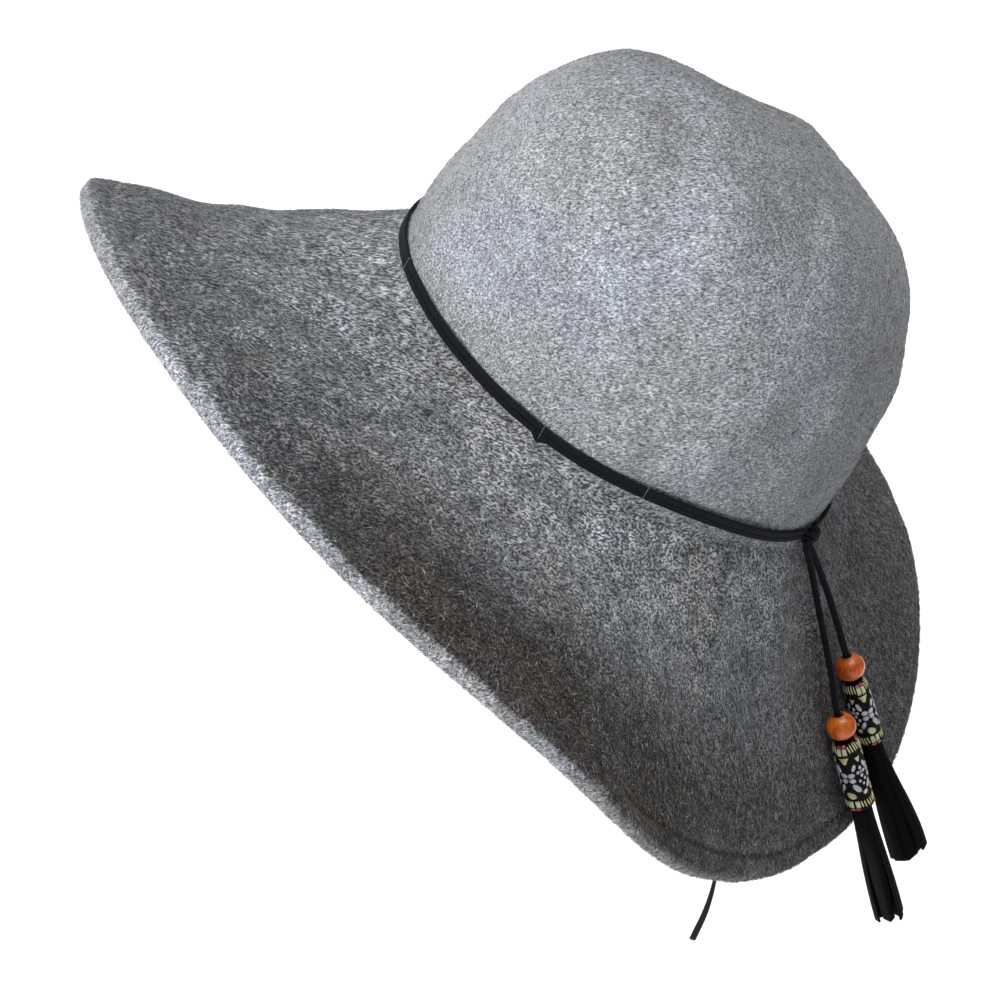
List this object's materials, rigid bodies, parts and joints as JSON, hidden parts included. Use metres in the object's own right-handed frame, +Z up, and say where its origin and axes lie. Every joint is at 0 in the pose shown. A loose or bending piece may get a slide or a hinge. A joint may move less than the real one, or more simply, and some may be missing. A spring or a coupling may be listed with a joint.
{
  "type": "floppy felt hat",
  "caption": "Wide-brimmed floppy felt hat with a doubled suede lace band, a side knot and hanging ties with wood beads, patterned cloth sleeves and suede tassels.",
  "frame": {"origin": "middle of the head opening, on the line where crown meets brim", "axes": "+Z up with the hat as worn, leaned back 33.5 degrees about X; the wearer faces -Y and the wearer's left is +X"},
  "size_m": [0.3961, 0.3265, 0.3511],
  "materials": {
    "wool_felt": "matt wool felt, heathered grey",
    "black_suede": "matt suede",
    "varnished_wood": "gloss varnish",
    "patterned_cloth": "black cloth with a bright border pattern"
  },
  "bodies": {
    "root": {"felt_body": "wool_felt", "band_lace_upper": "black_suede", "band_lace_lower": "black_suede", "band_knot": "black_suede", "lace_end_left": "black_suede", "lace_end_right": "black_suede", "wood_bead_left": "varnished_wood", "wood_bead_right": "varnished_wood", "sleeve_left": "patterned_cloth", "sleeve_right": "patterned_cloth", "tassel_left": "black_suede", "tassel_right": "black_suede", "inner_tie": "black_suede"}
  },
  "joints": []
}
